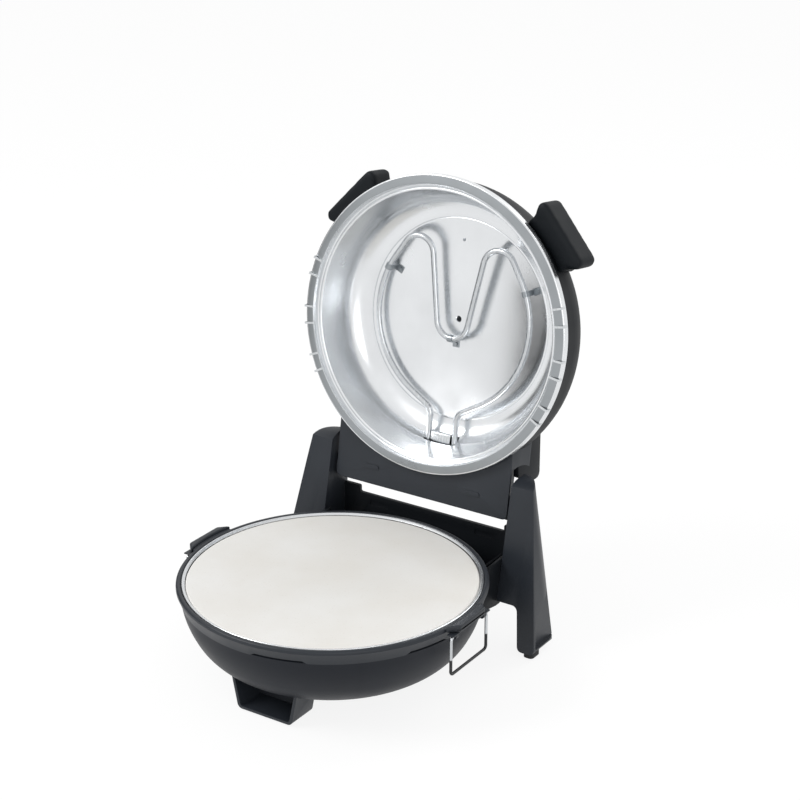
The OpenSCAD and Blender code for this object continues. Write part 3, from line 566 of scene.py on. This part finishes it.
# gussets that tie the bowl to the arms
gussetShape = {"inner": 113.0, "thickness": 4.2, "edge": 0.8,
               "outline": ((84, -57.5), (96, -26), (120, -25), (125, -12), (158, -10), (149, -63),
                           (141, -63), (112, -58.5))}
sidePlates("gusset", gussetShape, gussetShape["outline"], "base")

# cheeks of the hinge housing, which close the open ends of its claws behind the arms
cheekShape = {"inner": 105.5, "thickness": 6.2, "edge": 1.0, "near": 192.0, "far": 240.0, "low": 53.0,
              "high": 113.0, "corner": 7.0}


def cheekOutline(c):
    corner, near, far, low, high = c["corner"], c["near"], c["far"], c["low"], c["high"]
    return (arc((far - corner, high - corner), corner, 0, 90)
            + [(near + 22, high), (near, high - 16), (near, low + 16)]
            + arc((near + 24 + corner, low + corner), corner, 250, 270, 2)
            + arc((far - corner, low + corner), corner, 270, 360))


sidePlates("cheek", cheekShape, cheekOutline(cheekShape), "lid")
print("base dressed")

# stage: pale floor and soft studio light, places in metres and powers in watts
stageSetup = {"floorSize": 12, "floorDrop": 0.0004, "paper": 0.88, "worldLight": 0.62, "floorGlow": 0.82,
              "floorWhite": 1.06}
lampSetup = {
    "key": {"place": (-1.5, -1.5, 2.0), "target": (0, 0, 0.2), "size": 1.4, "power": 34},
    "fill": {"place": (1.8, -1.6, 1.0), "target": (0, 0, 0.2), "size": 1.6, "power": 9},
    "back": {"place": (0.6, 1.8, 1.8), "target": (0, 0, 0.3), "size": 1.2, "power": 10},
}


# the rays that see the backdrop white: camera, glossy and transmission rays
def seenRays(tree):
    path = addNode(tree, "ShaderNodeLightPath")
    first = addNode(tree, "ShaderNodeMath", {"operation": "MAXIMUM"},
                    {0: (path, "Is Camera Ray"), 1: (path, "Is Transmission Ray")})
    return addNode(tree, "ShaderNodeMath", {"operation": "MAXIMUM"},
                   {0: (first, 0), 1: (path, "Is Glossy Ray")})


def makeFloor(setup):
    bm = bmesh.new()
    bmesh.ops.create_grid(bm, x_segments=1, y_segments=1, size=setup["floorSize"] / 2)
    mesh = bpy.data.meshes.new("floor")
    bm.to_mesh(mesh)
    bm.free()
    floor = bpy.data.objects.new("floor", mesh)
    floor.location.z = -setup["floorDrop"]
    bpy.context.scene.collection.objects.link(floor)
    material, tree = startMaterial("backdrop_paper")[:2]
    paper = addNode(tree, "ShaderNodeBsdfDiffuse", {"Color": [setup["paper"]] * 3 + [1]})
    glow = addNode(tree, "ShaderNodeEmission", {"Color": (1, 1, 1, 1), "Strength": setup["floorWhite"]})
    share = addNode(tree, "ShaderNodeMath", {"operation": "MULTIPLY", 1: setup["floorGlow"]},
                    {0: (seenRays(tree), 0)})
    mixed = addNode(tree, "ShaderNodeMixShader", links={0: (share, 0), 1: (paper, 0), 2: (glow, 0)})
    finishMaterial(tree, mixed)
    mesh.materials.append(material)


def makeWorld(setup):
    world = bpy.data.worlds.new("studio")
    bpy.context.scene.world = world
    world.use_nodes = True
    tree = world.node_tree
    tree.nodes.clear()
    plain, white = (addNode(tree, "ShaderNodeBackground", {"Color": (1, 1, 1, 1), "Strength": strength})
                    for strength in (setup["worldLight"], 1.0))
    mixed = addNode(tree, "ShaderNodeMixShader", links={0: (seenRays(tree), 0), 1: (plain, 0), 2: (white, 0)})
    addNode(tree, "ShaderNodeOutputWorld", links={"Surface": (mixed, 0)})


def makeLamps(lamps):
    for name, setup in lamps.items():
        data = bpy.data.lights.new(name, "AREA")
        data.shape, data.size, data.energy = "DISK", setup["size"], setup["power"]
        light = bpy.data.objects.new(name, data)
        aim = (Vector(setup["target"]) - Vector(setup["place"])).to_track_quat("-Z", "Y").to_matrix().to_4x4()
        light.matrix_world = Matrix.Translation(setup["place"]) @ aim
        bpy.context.scene.collection.objects.link(light)


# studio flag: a matt board that only the polished metal sees, as a dark band in its reflection
flagSetup = {"low": (-0.85, -0.6, 0.0), "along": (-0.2, 1.15, 0), "height": 0.55, "tone": 0.06}


def makeFlag(name, setup):
    low, along, up = Vector(setup["low"]), Vector(setup["along"]), Vector((0, 0, setup["height"]))
    mesh = bpy.data.meshes.new(name)
    mesh.from_pydata([low, low + along, low + along + up, low + up], [], [(0, 1, 2, 3)])
    board = bpy.data.objects.new(name, mesh)
    bpy.context.scene.collection.objects.link(board)
    for rays in ("visible_camera", "visible_diffuse", "visible_shadow", "visible_transmission"):
        setattr(board, rays, False)
    material, tree = startMaterial(name + "_felt")[:2]
    felt = addNode(tree, "ShaderNodeEmission", {"Color": [setup["tone"]] * 3 + [1], "Strength": 1.0})
    finishMaterial(tree, felt)
    mesh.materials.append(material)


makeFloor(stageSetup)
makeWorld(stageSetup)
makeLamps(lampSetup)
makeFlag("flagLeft", flagSetup)
bpy.context.scene.view_settings.view_transform = "Standard"
print("stage set")
